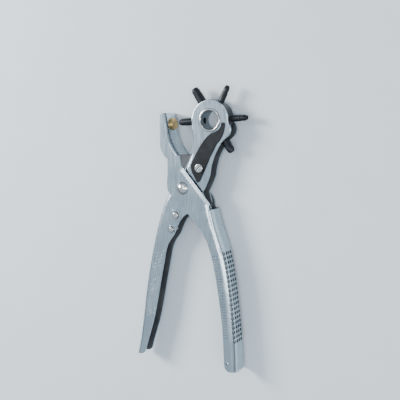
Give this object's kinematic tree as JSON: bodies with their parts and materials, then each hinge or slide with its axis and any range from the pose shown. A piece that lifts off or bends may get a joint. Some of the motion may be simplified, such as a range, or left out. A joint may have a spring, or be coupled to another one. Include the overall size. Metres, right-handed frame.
{
  "type": "rotary hole punch",
  "caption": "Rotary leather hole punch: two crossing pressed-steel levers, a turning wheel of punch tubes and a brass anvil.",
  "frame": {"origin": "on the main pivot axis, in the plane that the tool's flat back lies on", "axes": "+Z along the pivot axis towards the domed rivet heads, +Y from the handles towards the jaws, +X towards the anvil lever's handle"},
  "size_m": [0.1086, 0.247, 0.0238],
  "materials": {
    "plated_steel": "bright nickel plate over pressed steel",
    "bright_rivet": "polished plated steel",
    "black_steel": "black oxide on hardened steel",
    "black_spring_steel": "black oxide on spring steel",
    "brass": "turned brass, lightly marked"
  },
  "bodies": {
    "anvil_lever": {"anvil_lever": "plated_steel", "anvil": "brass", "main_pivot_rivet": "bright_rivet"},
    "punch_lever": {"punch_lever": "plated_steel", "pivot_washer_front": "bright_rivet", "pivot_washer_rear": "bright_rivet", "return_spring": "black_spring_steel", "spring_pivot_rivet": "bright_rivet", "spring_anchor_rivet": "bright_rivet", "hub_eyelet": "bright_rivet", "hub_washer_front": "bright_rivet", "hub_washer_rear": "bright_rivet", "index_spring": "black_spring_steel", "index_stud": "black_steel", "index_spring_screw": "bright_rivet", "index_spring_nut": "bright_rivet"},
    "punch_wheel": {"punch_wheel": "black_steel", "punch_tube_2_5": "black_steel", "punch_tube_3_0": "black_steel", "punch_tube_3_5": "black_steel", "punch_tube_4_0": "black_steel", "punch_tube_4_5": "black_steel", "punch_tube_5_0": "black_steel"}
  },
  "joints": [
    {"name": "main_pivot", "type": "hinge", "parent": "anvil_lever", "child": "punch_lever", "pos_m": [0, 0, 0], "axis": [0, 0, 1], "range_deg": [0, 5.4], "stiffness_Nm_per_rad": 4, "springref_deg": -17.19, "deforming": ["return_spring"]},
    {"name": "wheel_spin", "type": "hinge", "parent": "punch_lever", "child": "punch_wheel", "pos_m": [0.0252, 0.0602, 0.0105], "axis": [0, 0, 1], "continuous": true}
  ]
}
